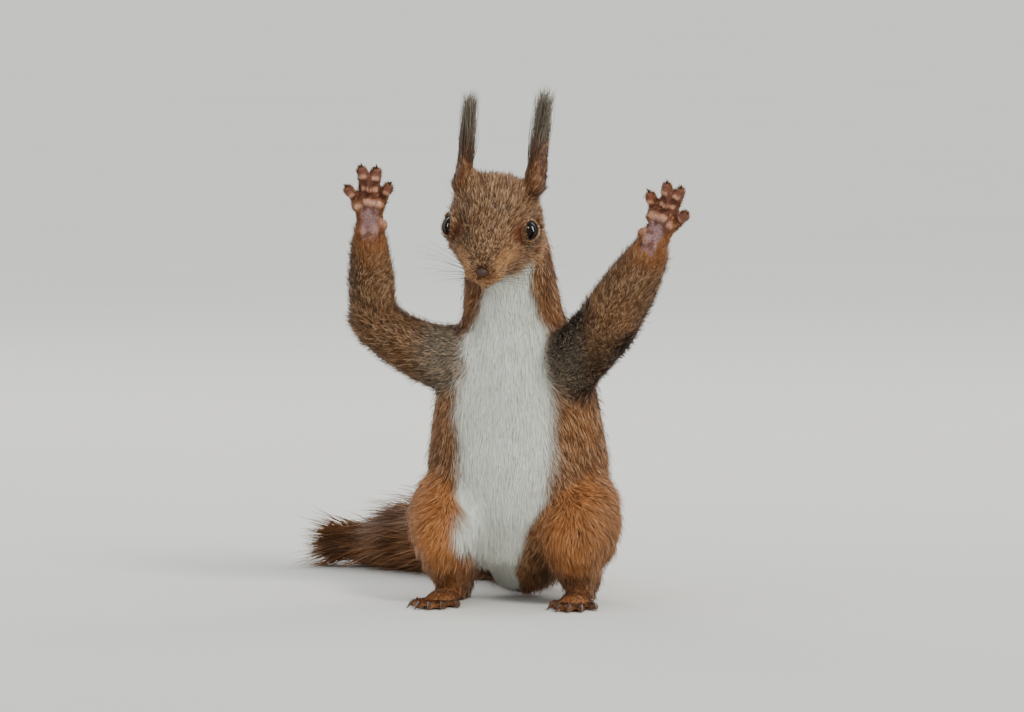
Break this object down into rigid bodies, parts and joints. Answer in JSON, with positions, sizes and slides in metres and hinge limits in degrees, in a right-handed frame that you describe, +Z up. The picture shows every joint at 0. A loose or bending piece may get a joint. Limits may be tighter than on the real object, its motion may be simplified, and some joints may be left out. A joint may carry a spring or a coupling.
{
  "type": "squirrel",
  "caption": "Still red squirrel upright on its hind feet, arms raised with palms forward, ears tufted, bushy tail laid on the floor behind it.",
  "frame": {"origin": "middle of the model's footprint, on the floor it stands on", "axes": "+Z up, the squirrel faces -Y and its own left side is towards +X"},
  "size_m": [0.1844, 0.1912, 0.2033],
  "materials": {
    "coat": "matt fur",
    "tail_coat": "matt long fur",
    "ear_tuft": "matt long hair",
    "bare_skin": "satin skin",
    "nose": "damp satin skin",
    "eye": "wet gloss",
    "claw": "satin horn"
  },
  "bodies": {
    "root": {"head": "coat", "neck": "coat", "trunk": "coat", "ear_left": "coat", "ear_right": "coat", "ear_tuft_left": "ear_tuft", "ear_tuft_right": "ear_tuft", "eye_left": "eye", "eye_right": "eye", "nose": "nose", "upper_arm_left": "coat", "upper_arm_right": "coat", "forearm_left": "coat", "forearm_right": "coat", "hand_left": "bare_skin", "hand_right": "bare_skin", "thigh_left": "coat", "thigh_right": "coat", "shank_left": "coat", "shank_right": "coat", "foot_left": "coat", "foot_right": "coat", "tail_base": "tail_coat", "tail_middle": "tail_coat", "tail_tip": "tail_coat", "claw_hand_left_2": "claw", "claw_hand_left_3": "claw", "claw_hand_left_4": "claw", "claw_hand_left_5": "claw", "claw_hand_right_2": "claw", "claw_hand_right_3": "claw", "claw_hand_right_4": "claw", "claw_hand_right_5": "claw", "claw_foot_left_1": "claw", "claw_foot_left_2": "claw", "claw_foot_left_3": "claw", "claw_foot_left_4": "claw", "claw_foot_left_5": "claw", "claw_foot_right_1": "claw", "claw_foot_right_2": "claw", "claw_foot_right_3": "claw", "claw_foot_right_4": "claw", "claw_foot_right_5": "claw"}
  },
  "joints": []
}
